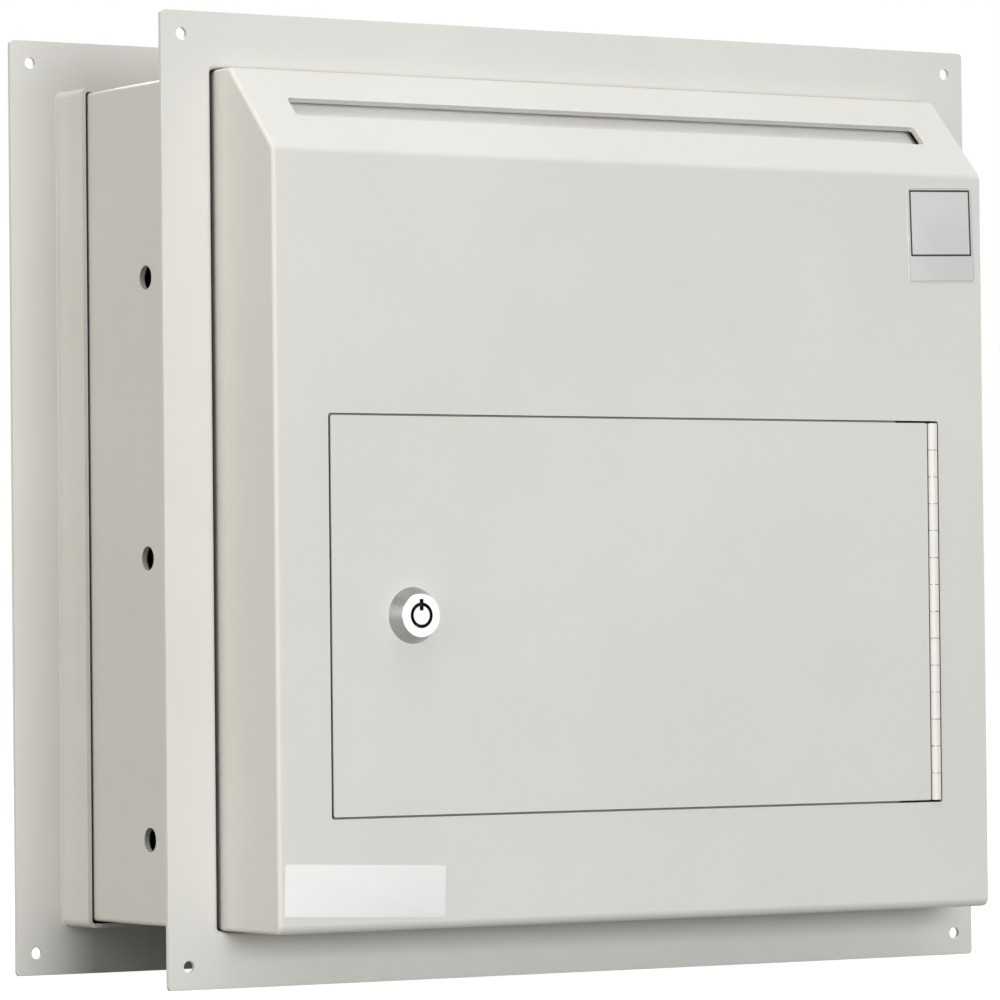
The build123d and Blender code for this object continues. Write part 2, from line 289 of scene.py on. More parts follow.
class Effects:
    """Surface effects that several finishes share, each a node group built once."""

    KINDS = {"value": "NodeSocketFloat", "colour": "NodeSocketColor", "place": "NodeSocketVector"}
    FINE_PER_PEEL = 3.7
    PEEL_SHARE = 0.72
    FLECK_SPAN = (0.36, 0.64)
    PATCH_SPAN = (0.32, 0.68)
    EDGE_SPAN = (0.01, 0.2)
    BREAK_SPAN = (0.35, 0.6)
    DUST_SHADE_PATCHES = 90.0
    DUST_SHADE_SPAN = (0.2, 0.7, 0.6, 1.0)
    CORNER_SPAN = (0.35, 0.95)
    GAP_RAMP = 0.28

    def __init__(self) -> None:
        """Build every group."""
        self.powder = self.build_powder()
        self.drift = self.build_drift()
        self.edge_wear_and_highlight = self.build_worn_and_lit_edges()
        self.dust_and_shade = self.build_dust_and_shade()
        self.turned = self.build_turned()
        self.drawn = self.build_drawn()

    def start(self, name: str, inputs: dict[str, str],
              outputs: dict[str, str]) -> tuple[Graph, object, object]:
        """Open a new group.

        Args:
            name: name of the group.
            inputs: kind of each input by name.
            outputs: kind of each output by name.

        Returns:
            The graph, the sockets of its inputs, and the sockets that it gives out.
        """
        tree = bpy.data.node_groups.new(name, "ShaderNodeTree")
        for socket, kind in inputs.items():
            tree.interface.new_socket(socket, in_out="INPUT", socket_type=self.KINDS[kind])
        for socket, kind in outputs.items():
            tree.interface.new_socket(socket, in_out="OUTPUT", socket_type=self.KINDS[kind])
        graph = Graph(tree)
        taken = graph.add("NodeGroupInput").outputs
        given = graph.add("NodeGroupOutput").inputs
        return graph, taken, given

    def build_powder(self) -> Tree:
        """Orange peel and fine grain of a baked powder coat.

        Returns:
            Group with a height and a fleck mask.
        """
        graph, taken, given = self.start(
            "powder_coat_grain",
            {"Place": "place", "Grain": "value"},
            {"Height": "value", "Fleck": "value"},
        )
        peel = graph.noise(taken["Place"], taken["Grain"], 1.0)
        fine = graph.noise(taken["Place"], graph.calc("MULTIPLY", taken["Grain"], self.FINE_PER_PEEL))
        coarse_part = graph.calc("MULTIPLY", peel, self.PEEL_SHARE)
        fine_part = graph.calc("MULTIPLY", fine, 1 - self.PEEL_SHARE)
        graph.feed(given["Height"], graph.calc("ADD", coarse_part, fine_part))
        graph.feed(given["Fleck"], graph.span(fine, *self.FLECK_SPAN))
        return graph.tree

    def build_drift(self) -> Tree:
        """Slow drift of a colour between two tones, in soft patches.

        Returns:
            Group with a colour.
        """
        graph, taken, given = self.start(
            "tone_drift",
            {"Place": "place", "Patch": "value", "Light": "colour", "Dark": "colour"},
            {"Colour": "colour"},
        )
        mask = graph.span(graph.noise(taken["Place"], taken["Patch"], 3.0, 0.55), *self.PATCH_SPAN)
        graph.feed(given["Colour"], graph.blend(mask, taken["Dark"], taken["Light"]))
        return graph.tree

    def build_worn_and_lit_edges(self) -> Tree:
        """Mask of the edges, broken up by noise: wear where hands and tools rub, and a painted highlight
        along the edges.

        Returns:
            Group with a mask.
        """
        graph, taken, given = self.start(
            "worn_and_highlit_edges",
            {"Place": "place", "Reach": "value", "Breaks": "value"},
            {"Mask": "value"},
        )
        rounded = graph.add("ShaderNodeBevel", samples=4)
        graph.feed(rounded.inputs["Radius"], taken["Reach"])
        surface = graph.add("ShaderNodeNewGeometry").outputs["Normal"]
        agree = graph.vector("DOT_PRODUCT", rounded.outputs[0], surface).outputs["Value"]
        edge = graph.span(graph.calc("SUBTRACT", 1.0, agree), *self.EDGE_SPAN)
        broken = graph.span(graph.noise(taken["Place"], taken["Breaks"], 3.0), *self.BREAK_SPAN)
        graph.feed(given["Mask"], graph.calc("MULTIPLY", edge, broken))
        return graph.tree

    def build_dust_and_shade(self) -> Tree:
        """Masks of inner corners, for dust and painted shade, and of narrow gaps, for painted shade,
        both from ambient occlusion.

        Returns:
            Group with a mask of dust and painted shade in the corners and a mask of painted shade in the
            gaps.
        """
        graph, taken, given = self.start(
            "corner_dust_and_shade",
            {"Place": "place", "Reach": "value", "Onset": "value"},
            {"CornerDustShade": "value", "GapShade": "value"},
        )
        # Ambient occlusion places painted shade: the less open sky, the darker the paint.
        open_sky = graph.add("ShaderNodeAmbientOcclusion", samples=6)
        graph.feed(open_sky.inputs["Distance"], taken["Reach"])
        shut = graph.calc("SUBTRACT", 1.0, open_sky.outputs["AO"])
        patchy = graph.span(graph.noise(taken["Place"], self.DUST_SHADE_PATCHES, 3.0), *self.DUST_SHADE_SPAN)
        graph.feed(given["CornerDustShade"], graph.calc("MULTIPLY", graph.span(shut, *self.CORNER_SPAN), patchy))
        full = graph.calc("ADD", taken["Onset"], self.GAP_RAMP)
        graph.feed(given["GapShade"], graph.span(shut, taken["Onset"], full))
        return graph.tree

    def build_turned(self) -> Tree:
        """Fine rings left by a lathe round an axis along Y.

        Returns:
            Group with a height and the distance from the axis.
        """
        graph, taken, given = self.start(
            "lathe_rings",
            {"Place": "place", "Axis": "place", "Rings": "value"},
            {"Height": "value", "Radius": "value"},
        )
        arm = graph.vector("SUBTRACT", taken["Place"], taken["Axis"]).outputs["Vector"]
        flat = graph.vector("MULTIPLY", arm, (1.0, 0.0, 1.0)).outputs["Vector"]
        length = graph.add("ShaderNodeVectorMath", operation="LENGTH")
        graph.feed(length.inputs[0], flat)
        radius = length.outputs["Value"]
        along = graph.add("ShaderNodeSeparateXYZ")
        graph.feed(along.inputs[0], arm)
        join = graph.add("ShaderNodeCombineXYZ")
        graph.feed(join.inputs[0], radius)
        graph.feed(join.inputs[1], along.outputs[1])
        graph.feed(given["Height"], graph.noise(join.outputs[0], taken["Rings"], 2.0, 0.6))
        graph.feed(given["Radius"], radius)
        return graph.tree

    def build_drawn(self) -> Tree:
        """Fine straight lines along one axis, as on drawn wire or brushed sheet.

        Returns:
            Group with a height.
        """
        graph, taken, given = self.start(
            "drawn_lines",
            {"Place": "place", "Stretch": "place", "Lines": "value"},
            {"Height": "value"},
        )
        place = graph.vector("MULTIPLY", taken["Place"], taken["Stretch"]).outputs["Vector"]
        graph.feed(given["Height"], graph.noise(place, taken["Lines"], 3.0, 0.6))
        return graph.tree


@dataclass(frozen=True)
class Finish:
    """What every finish has: a name, and two tones that its colour drifts between."""

    name: str
    light: Colour
    dark: Colour

    def start(self, effects: Effects, patch: float) -> tuple[Material, Graph, Node, Socket, Socket]:
        """Start the material.

        Args:
            effects: shared effects.
            patch: patches of the two tones in a metre.

        Returns:
            The material, its graph, its Principled BSDF, the object coordinates and the base colour.
        """
        material = bpy.data.materials.new(self.name)
        graph = Graph.of(material)
        shader = graph.add("ShaderNodeBsdfPrincipled")
        output = graph.add("ShaderNodeOutputMaterial")
        graph.feed(output.inputs["Surface"], shader.outputs[0])
        place = graph.add("ShaderNodeTexCoord").outputs["Object"]
        tone = graph.effect(effects.drift, Place=place, Patch=patch,
                            Light=(*self.light, 1.0), Dark=(*self.dark, 1.0))
        return material, graph, shader, place, tone["Colour"]


@dataclass(frozen=True)
class PowderCoat(Finish):
    """Baked powder coat on sheet steel."""

    roughness: float = 0.42
    gloss_spread: float = 0.06
    shine: float = 0.3
    grain: float = 1500.0
    peel_strength: float = 0.35
    peel_depth: float = 0.03 * MM
    patch: float = 9.0
    edge_reach: float = 0.9 * MM
    edge_breaks: float = 60.0
    # Lighter tone along the edges: wear and painted highlight.
    edge_highlight_tone: Colour = (0.80, 0.79, 0.765)
    edge_highlight_share: float = 0.18
    # Inner corners darkened by the ambient-occlusion mask: dust and painted shade.
    dust_shade_reach: float = 4 * MM
    dust_shade_tone: Colour = (0.16, 0.145, 0.12)
    dust_shade_share: float = 0.12
    # Narrow gaps darkened to near black: painted shade.
    gap_shade_tone: Colour = (0.045, 0.040, 0.033)
    gap_shade_share: float = 0.85
    gap_onset: float = 0.58
    gap_dullness: float = 0.4

    def make(self, effects: Effects) -> Material:
        """Build the material.

        Args:
            effects: shared effects.

        Returns:
            The material.
        """
        material, graph, shader, place, colour = self.start(effects, self.patch)
        grain = graph.effect(effects.powder, Place=place, Grain=self.grain)
        edge_wear_and_highlight = graph.effect(effects.edge_wear_and_highlight, Place=place, Reach=self.edge_reach,
                              Breaks=self.edge_breaks)
        dust_and_shade = graph.effect(effects.dust_and_shade, Place=place, Reach=self.dust_shade_reach, Onset=self.gap_onset)
        # Edges painted lighter: wear and painted highlight.
        colour = graph.tint(colour, edge_wear_and_highlight["Mask"], self.edge_highlight_share, self.edge_highlight_tone)
        # Painted shade: corners a little darker, gaps near black.
        colour = graph.tint(colour, dust_and_shade["CornerDustShade"], self.dust_shade_share, self.dust_shade_tone)
        colour = graph.tint(colour, dust_and_shade["GapShade"], self.gap_shade_share, self.gap_shade_tone)
        graph.feed(shader.inputs["Base Color"], colour)
        gloss = graph.around(grain["Fleck"], self.roughness, self.gloss_spread)
        dull = graph.calc("MULTIPLY", dust_and_shade["GapShade"], self.gap_dullness)
        graph.feed(shader.inputs["Roughness"], graph.calc("ADD", gloss, dull))
        shader.inputs["Specular IOR Level"].default_value = self.shine
        graph.bump(shader, grain["Height"], self.peel_strength, self.peel_depth)
        return material


@dataclass(frozen=True)
class Keyway:
    """Keyway in the face of a lock, with its notch, painted near black as painted shade in its recess;
    and the skirt behind the face, painted darker as a painted reflection.
    """

    face: float
    skirt_reflection_share: float = 0.0
    outer: float = 5.75 * MM
    notch_half: float = 1.05 * MM
    notch_reach: float = 7.35 * MM
    blur: float = 0.05 * MM
    sunk_span: Pair = (0.02 * MM, 0.1 * MM)
    skirt_span: Pair = (0.15 * MM, 0.5 * MM)
    # Near black: painted shade in the keyway.
    tone: Colour = (0.012, 0.012, 0.013)
    # Darker skirt: painted reflection of the darker surroundings that the cone faces.
    skirt_reflection_tone: Colour = (0.395, 0.395, 0.40)

    def masks(self, graph: Graph, arm: Socket, radius: Socket) -> tuple[Socket, Socket]:
        """Masks of the inside of the keyway, and of what lies behind the face.

        Args:
            graph: the material's graph.
            arm: place, from the point where the lock's axis meets the door.
            radius: distance from the lock's axis.

        Returns:
            The mask of the keyway and the mask of the conical skirt.
        """
        split = graph.add("ShaderNodeSeparateXYZ")
        graph.feed(split.inputs[0], arm)
        across, along, up = split.outputs
        sunk = graph.calc("SUBTRACT", self.face, graph.calc("ABSOLUTE", along))
        behind = graph.span(sunk, *self.sunk_span)
        ring = graph.span(graph.calc("SUBTRACT", self.outer, radius), 0.0, self.blur)
        beside = graph.calc("SUBTRACT", self.notch_half, graph.calc("ABSOLUTE", across))
        notch = graph.calc("MULTIPLY", graph.span(beside, 0.0, self.blur),
                           graph.span(graph.calc("SUBTRACT", self.notch_reach, radius), 0.0, self.blur))
        notch = graph.calc("MULTIPLY", notch, graph.calc("GREATER_THAN", up, 0.0))
        inside = graph.calc("MULTIPLY", behind, graph.calc("MAXIMUM", ring, notch))
        return inside, graph.span(sunk, *self.skirt_span)


@dataclass(frozen=True)
class Metal(Finish):
    """Bare or plated metal."""

    lay: Lay
    roughness: float = 0.28
    gloss_spread: float = 0.07
    patch: float = 320.0
    lines: float = 6000.0
    line_strength: float = 0.5
    line_depth: float = 0.01 * MM
    line_span: Pair = (0.25, 0.75)
    stretch: Point = (1.0, 1.0, 0.02)
    # Dark tone in inner corners from ambient occlusion: painted shade, such as the lock head's contact
    # shadow, with some dust.
    dust_shade_tone: Colour = (0.06, 0.055, 0.045)
    dust_shade_share: float = 0.35
    dust_shade_reach: float = 3 * MM
    axis: Point = (0.0, 0.0, 0.0)
    keyway: Keyway | None = None

    def make(self, effects: Effects) -> Material:
        """Build the material.

        Args:
            effects: shared effects.

        Returns:
            The material.
        """
        material, graph, shader, place, colour = self.start(effects, self.patch)
        if self.lay is Lay.TURNED:
            marks = graph.effect(effects.turned, Place=place, Axis=self.axis, Rings=self.lines)
        elif self.lay is Lay.DRAWN:
            marks = graph.effect(effects.drawn, Place=place, Stretch=self.stretch, Lines=self.lines)
        else:
            marks = graph.effect(effects.powder, Place=place, Grain=self.lines)
        metallic = 1.0
        if self.keyway:
            arm = graph.vector("SUBTRACT", place, self.axis).outputs["Vector"]
            inside, skirt = self.keyway.masks(graph, arm, marks["Radius"])
            # Skirt painted darker (painted reflection); keyway painted near black and not metallic
            # (painted shade).
            colour = graph.tint(colour, skirt, self.keyway.skirt_reflection_share, self.keyway.skirt_reflection_tone)
            colour = graph.tint(colour, inside, 1.0, self.keyway.tone)
            metallic = graph.calc("SUBTRACT", 1.0, inside)
        # Painted shade in corners and round the lock's head, with some dust.
        dust_and_shade = graph.effect(effects.dust_and_shade, Place=place, Reach=self.dust_shade_reach)["CornerDustShade"]
        colour = graph.tint(colour, dust_and_shade, self.dust_shade_share, self.dust_shade_tone)
        graph.feed(shader.inputs["Base Color"], colour)
        graph.feed(shader.inputs["Metallic"], metallic)
        gloss = graph.around(marks["Height"], self.roughness, self.gloss_spread, self.line_span)
        graph.feed(shader.inputs["Roughness"], gloss)
        graph.bump(shader, marks["Height"], self.line_strength, self.line_depth)
        return material


@dataclass(frozen=True)
class Printed(Finish):
    """Foil, vinyl or ink of a stuck-on plate."""

    roughness: float
    metallic: float = 0.0
    patch: float = 60.0
    grain: float = 5000.0
    gloss_spread: float = 0.05
    relief_strength: float = 0.25
    relief_depth: float = 0.008 * MM

    def make(self, effects: Effects) -> Material:
        """Build the material.

        Args:
            effects: shared effects.

        Returns:
            The material.
        """
        material, graph, shader, place, colour = self.start(effects, self.patch)
        grain = graph.effect(effects.powder, Place=place, Grain=self.grain)
        graph.feed(shader.inputs["Base Color"], colour)
        shader.inputs["Metallic"].default_value = self.metallic
        gloss = graph.around(grain["Fleck"], self.roughness, self.gloss_spread)
        graph.feed(shader.inputs["Roughness"], gloss)
        graph.bump(shader, grain["Height"], self.relief_strength, self.relief_depth)
        return material


class Shaper:
    """Mesh makers that the sub-assemblies share."""

    @staticmethod
    def arc(centre: Pair, radius: float, start: float, steps: int) -> list[Pair]:
        """Points of a quarter turn from a start angle in radians, ends included."""
        turns = (start + math.pi / 2 * step / steps for step in range(steps + 1))
        return [(centre[0] + radius * math.cos(t), centre[1] + radius * math.sin(t)) for t in turns]

    @classmethod
    def rounded(cls, width: float, height: float, radius: float, steps: int = 6) -> list[Pair]:
        """Outline of a rectangle with round corners, centred, anticlockwise.

        Args:
            width: whole width.
            height: whole height.
            radius: corner radius.
            steps: stretches in each corner.

        Returns:
            The outline's points.
        """
        reach = (width / 2 - radius, height / 2 - radius)
        outline: list[Pair] = []
        for quarter, (across, up) in enumerate(((1, 1), (-1, 1), (-1, -1), (1, -1))):
            outline += cls.arc((across * reach[0], up * reach[1]), radius, quarter * math.pi / 2, steps)
        return outline

    @staticmethod
    def finish(mesh: Mesh, name: str, finish: Material, smooth: float = 40.0) -> Piece:
        """Turn a bmesh into an object of the scene.

        Args:
            mesh: the built mesh, which is freed.
            name: name of the piece.
            finish: its material.
            smooth: edges sharper than this many degrees stay sharp.

        Returns:
            The object.
        """
        bmesh.ops.recalc_face_normals(mesh, faces=mesh.faces)
        for edge in mesh.edges:
            edge.smooth = edge.calc_face_angle(math.pi) < math.radians(smooth)
        for face in mesh.faces:
            face.smooth = True
        data = bpy.data.meshes.new(name)
        mesh.to_mesh(data)
        mesh.free()
        data.materials.append(finish)
        piece = bpy.data.objects.new(name, data)
        bpy.context.scene.collection.objects.link(piece)
        return piece

    @staticmethod
    def loft(mesh: Mesh, loops: list[list[Vector]], capped: bool = True) -> None:
        """Skin closed loops of equal length, one after the other.

        Args:
            mesh: mesh to add to.
            loops: the loops' points.
            capped: close the first and the last loop.
        """
        rings = [[mesh.verts.new(point) for point in loop] for loop in loops]
        count = len(rings[0])
        for near, far in zip(rings, rings[1:]):
            for index in range(count):
                after = (index + 1) % count
                mesh.faces.new((near[index], near[after], far[after], far[index]))
        if capped:
            mesh.faces.new(reversed(rings[0]))
            mesh.faces.new(rings[-1])


@dataclass
class Plate:
    """Thin plate stuck on a face that looks along -Y."""

    name: str
    face_y: float
    middle: Pair
    size: Pair
    tilt: float
    thickness: float
    corner: float
    rim: float

    RIM_STEPS = 3
    INK = 0.03 * MM
    INK_ROOT = 0.01 * MM
    LEAST_CORNER = 0.15 * MM
    SAME_POINT = 1e-7

    def place(self) -> Matrix:
        """Matrix from the plate's own plane (x right, y up, z out) to the frame."""
        turn = Matrix.Rotation(math.radians(90), 4, "X") @ Matrix.Rotation(self.tilt, 4, "Z")
        return Matrix.Translation((self.middle[0], self.face_y, self.middle[1])) @ turn

    def build(self, finish: Material) -> Piece:
        """Build the plate, with a softly rounded rim.

        Args:
            finish: its material.

        Returns:
            The plate.
        """
        mesh = bmesh.new()
        levels = [(0.0, 0.0), (0.0, self.thickness - self.rim)]
        for step in range(1, self.RIM_STEPS + 1):
            angle = math.pi / 2 * step / self.RIM_STEPS
            drop = self.rim * (1 - math.sin(angle))
            levels.append((self.rim * (1 - math.cos(angle)), self.thickness - drop))
        width, height = self.size
        loops = []
        for inset, level in levels:
            outline = Shaper.rounded(width - 2 * inset, height - 2 * inset, self.corner - inset)
            loops.append([Vector((x, y, level)) for x, y in outline])
        Shaper.loft(mesh, loops)
        mesh.transform(self.place())
        return Shaper.finish(mesh, self.name, finish)

    def build_border(self, name: str, finish: Material, outer: Pair,
                     lift: float, line: float, corner: float) -> Piece:
        """Build a printed border line on the plate.

        Args:
            name: name of the piece.
            finish: its ink.
            outer: width and height of the line's outside.
            lift: how far the border's middle is above the plate's.
            line: width of the line.
            corner: radius of the line's corners, outside.

        Returns:
            The border.
        """
        mesh = bmesh.new()
        width, height = outer
        outside = Shaper.rounded(width, height, corner, 3)
        inner_corner = max(self.LEAST_CORNER, corner - line)
        inside = Shaper.rounded(width - 2 * line, height - 2 * line, inner_corner, 3)
        base = self.thickness - self.INK_ROOT
        top = self.thickness + self.INK
        loops = [[Vector((x, y + lift, z)) for x, y in outline]
                 for outline, z in ((outside, base), (outside, top), (inside, top), (inside, base))]
        Shaper.loft(mesh, loops + [loops[0]], capped=False)
        bmesh.ops.remove_doubles(mesh, verts=mesh.verts, dist=self.SAME_POINT)
        mesh.transform(self.place())
        return Shaper.finish(mesh, name, finish)


@dataclass
class BoxLabels:
    """Bare badge plate and bare label on the front face."""

    front_y: float
    badge_at: Pair = (167.7 * MM, 124.2 * MM)
    badge_size: Pair = (37.8 * MM, 44.3 * MM)
    badge_tilt: float = math.radians(1.6)
    badge_thickness: float = 0.35 * MM
    badge_corner: float = 1.5 * MM
    badge_rim: float = 0.2 * MM
    frame_size: Pair = (34.9 * MM, 31.0 * MM)
    frame_lift: float = 5.4 * MM
    frame_line: float = 0.9 * MM
    frame_corner: float = 0.35 * MM
    edge_size: Pair = (37.0 * MM, 43.5 * MM)
    edge_line: float = 0.3 * MM
    edge_corner: float = 1.2 * MM
    label_at: Pair = (-148.1 * MM, -172.7 * MM)
    label_size: Pair = (81.6 * MM, 23.0 * MM)
    label_tilt: float = math.radians(-1.9)
    label_thickness: float = 0.12 * MM
    label_corner: float = 1.2 * MM
    label_rim: float = 0.05 * MM

    def build(self, finishes: Finishes) -> list[Piece]:
        """Build both plates.

        Args:
            finishes: materials by name.

        Returns:
            The pieces.
        """
        badge = Plate("badge_plate", self.front_y, self.badge_at, self.badge_size,
                      self.badge_tilt, self.badge_thickness, self.badge_corner, self.badge_rim)
        label = Plate("bare_label", self.front_y, self.label_at, self.label_size,
                      self.label_tilt, self.label_thickness, self.label_corner, self.label_rim)
        border = badge.build_border("badge_border", finishes["badge_ink"], self.frame_size,
                                    self.frame_lift, self.frame_line, self.frame_corner)
        edge_line = badge.build_border("badge_edge_line", finishes["badge_edge_ink"], self.edge_size,
                                       0.0, self.edge_line, self.edge_corner)
        pieces = [badge.build(finishes["badge_foil"]), border, edge_line,
                  label.build(finishes["label_vinyl"])]
        for piece in pieces:
            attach(piece, "main_box")
        return pieces


@dataclass
class LockThread:
    """Thread on the barrel of one cam lock, cut off by the barrel's two flats."""

    side: Side
    radius: float = 9.5 * MM
    flat: float = 8.03 * MM
    pitch: float = 1.0 * MM
    crest: float = 0.22 * MM
    segments: int = 96
    steps_per_turn: int = 8

    LEAST_COSINE = 1e-6

    def build(self, finish: Material) -> Piece:
        """Build the thread as one helical skin over the bare end of the barrel.

        Args:
            finish: its material.

        Returns:
            The thread.
        """
        low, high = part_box(self.side.node("lock_body"))
        nut_low, nut_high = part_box(self.side.node("lock_nut"))
        centre = (low + high) / 2
        start, end = (nut_high.y, high.y) if self.side is Side.OUTSIDE else (nut_low.y, low.y)
        steps = max(2, int(abs(end - start) / self.pitch * self.steps_per_turn))
        mesh = bmesh.new()
        loops = []
        for step in range(steps + 1):
            depth = start + (end - start) * step / steps
            run = abs(depth - start)
            loops.append([self.point(centre, depth, index, run) for index in range(self.segments)])
        Shaper.loft(mesh, loops, capped=False)
        thread = Shaper.finish(mesh, self.side.node("lock_thread"), finish, 75.0)
        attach(thread, self.side.door_body)
        return thread

    def point(self, centre: Vector, depth: float, index: int, run: float) -> Vector:
        """One point of the thread.

        Args:
            centre: middle of the lock.
            depth: place along Y.
            index: number of the segment round the barrel.
            run: distance from the nut.

        Returns:
            The point.
        """
        angle = 2 * math.pi * index / self.segments
        phase = (run / self.pitch + index / self.segments) % 1.0
        ridge = self.radius + self.crest * (1 - abs(2 * phase - 1))
        cosine = abs(math.cos(angle))
        reach = min(ridge, self.flat / cosine) if cosine > self.LEAST_COSINE else ridge
        return Vector((centre.x + reach * math.cos(angle), depth, centre.z + reach * math.sin(angle)))


@dataclass
class StitchWelds:
    """Short fillet welds, painted over, laid in the corners of a sub-assembly."""

    name: str
    body: str
    slot: str
    radius: float = 2.4 * MM
    ripple: float = 3.0 * MM
    swell: float = 0.10
    waist: float = 0.80
    root: float = 0.25
    end_share: float = 0.03
    steps_per_ripple: int = 6
    fan: int = 6

    def bead(self, mesh: Mesh, start: Vector, end: Vector, walls: Walls) -> None:
        """Add one bead.

        Args:
            mesh: mesh to add to.
            start: start of the corner line.
            end: end of the corner line.
            walls: unit vectors from the corner along the two walls.
        """
        length = (end - start).length
        steps = max(12, int(length / self.ripple * self.steps_per_ripple))
        first, second = walls
        loops = []
        for step in range(steps + 1):
            run = length * step / steps
            taper = min(1.0, math.sqrt(max(0.0, min(run, length - run)) / self.radius + self.end_share))
            size = self.radius * taper * (1.0 + self.swell * abs(math.sin(math.pi * run / self.ripple)))
            base = start.lerp(end, step / steps)
            loop = [base - self.root * size * (first + second)]
            for part in range(self.fan + 1):
                angle = math.pi / 2 * part / self.fan
                bulge = self.waist + (1 - self.waist) * abs(math.cos(2 * angle))
                loop.append(base + size * bulge * (first * math.cos(angle) + second * math.sin(angle)))
            loops.append(loop)
        Shaper.loft(mesh, loops)

    def build(self, runs: list[Run], finish: Material) -> Piece:
        """Build every bead as one piece.

        Args:
            runs: start, end and walls of each bead.
            finish: the paint over the welds.

        Returns:
            The piece.
        """
        mesh = bmesh.new()
        for start, end, walls in runs:
            self.bead(mesh, start, end, walls)
        piece = Shaper.finish(mesh, self.name, finish, 60.0)
        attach(piece, self.body)
        return piece


@dataclass
class BoxShell:
    """Outside unit: the welds in its folded box and on its baffle."""

    sheet: float = 2.5 * MM
    bead_length: float = 26 * MM
    first_bead: float = 30 * MM
    later_beads: tuple[float, ...] = (45 * MM, 115 * MM)
    slope_reach: float = 20 * MM
    baffle_beads: tuple[float, ...] = (-150 * MM, -60 * MM, 60 * MM, 150 * MM)
    baffle_radius: float = 1.5 * MM

    def stitch_runs(self) -> list[Run]:
        """Beads in the four long corners inside the box.

        Returns:
            Start, end and walls of each bead.
        """
        wrap_low, wrap_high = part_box("box_wrap")
        runs = []
        for across in (-1, 1):
            for up in (-1, 1):
                for depth in (wrap_low.y + self.first_bead, *self.later_beads):
                    if up > 0 and depth < self.slope_reach:
                        continue
                    start = Vector((across * wrap_high.x, depth, up * (wrap_high.z - self.sheet)))
                    walls = (Vector((-across, 0, 0)), Vector((0, 0, -up)))
                    runs.append((start, start + Vector((0, self.bead_length, 0)), walls))
        return runs

    def baffle_runs(self) -> list[Run]:
        """Beads along the back edge of the baffle's lip, under the flat top.

        Returns:
            Start, end and walls of each bead.
        """
        _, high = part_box("deposit_baffle")
        runs = []
        for middle in self.baffle_beads:
            start = Vector((middle - self.bead_length / 2, high.y, high.z))
            end = start + Vector((self.bead_length, 0, 0))
            runs.append((start, end, (Vector((0, 1, 0)), Vector((0, 0, -1)))))
        return runs

    def build(self, finishes: Finishes) -> list[Piece]:
        """Build the welds of the outside unit.

        Args:
            finishes: materials by name.

        Returns:
            The pieces.
        """
        corners = StitchWelds("box_corner_welds", "main_box", "box_paint")
        baffle = StitchWelds("baffle_welds", "main_box", "baffle_paint", self.baffle_radius)
        return [
            corners.build(self.stitch_runs(), finishes["box_paint"]),
            baffle.build(self.baffle_runs(), finishes["baffle_paint"]),
        ]


@dataclass
class InsideUnit:
    """Inside unit: the welds that hold its pan on the back of the flange."""

    bead_length: float = 30 * MM
    bead_middles: tuple[float, ...] = (-135 * MM, 0.0, 135 * MM)
    bead_radius: float = 2.6 * MM

    def pan_runs(self) -> list[Run]:
        """Beads all round the pan.

        Returns:
            Start, end and walls of each bead.
        """
        low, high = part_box("rear_pan")
        seat = low.y
        back = Vector((0, 1, 0))
        half = self.bead_length / 2
        runs = []
        for middle in self.bead_middles:
            start, end = middle - half, middle + half
            for across in (low.x, high.x):
                out = Vector((math.copysign(1, across), 0, 0))
                runs.append((Vector((across, seat, start)), Vector((across, seat, end)), (out, back)))
            for up in (low.z, high.z):
                out = Vector((0, 0, math.copysign(1, up)))
                runs.append((Vector((start, seat, up)), Vector((end, seat, up)), (out, back)))
        return runs

    def build(self, finishes: Finishes) -> list[Piece]:
        """Build the welds of the inside unit.

        Args:
            finishes: materials by name.

        Returns:
            The pieces.
        """
        welds = StitchWelds("pan_welds", "rear_unit", "box_paint", self.bead_radius)
        return [welds.build(self.pan_runs(), finishes["box_paint"])]


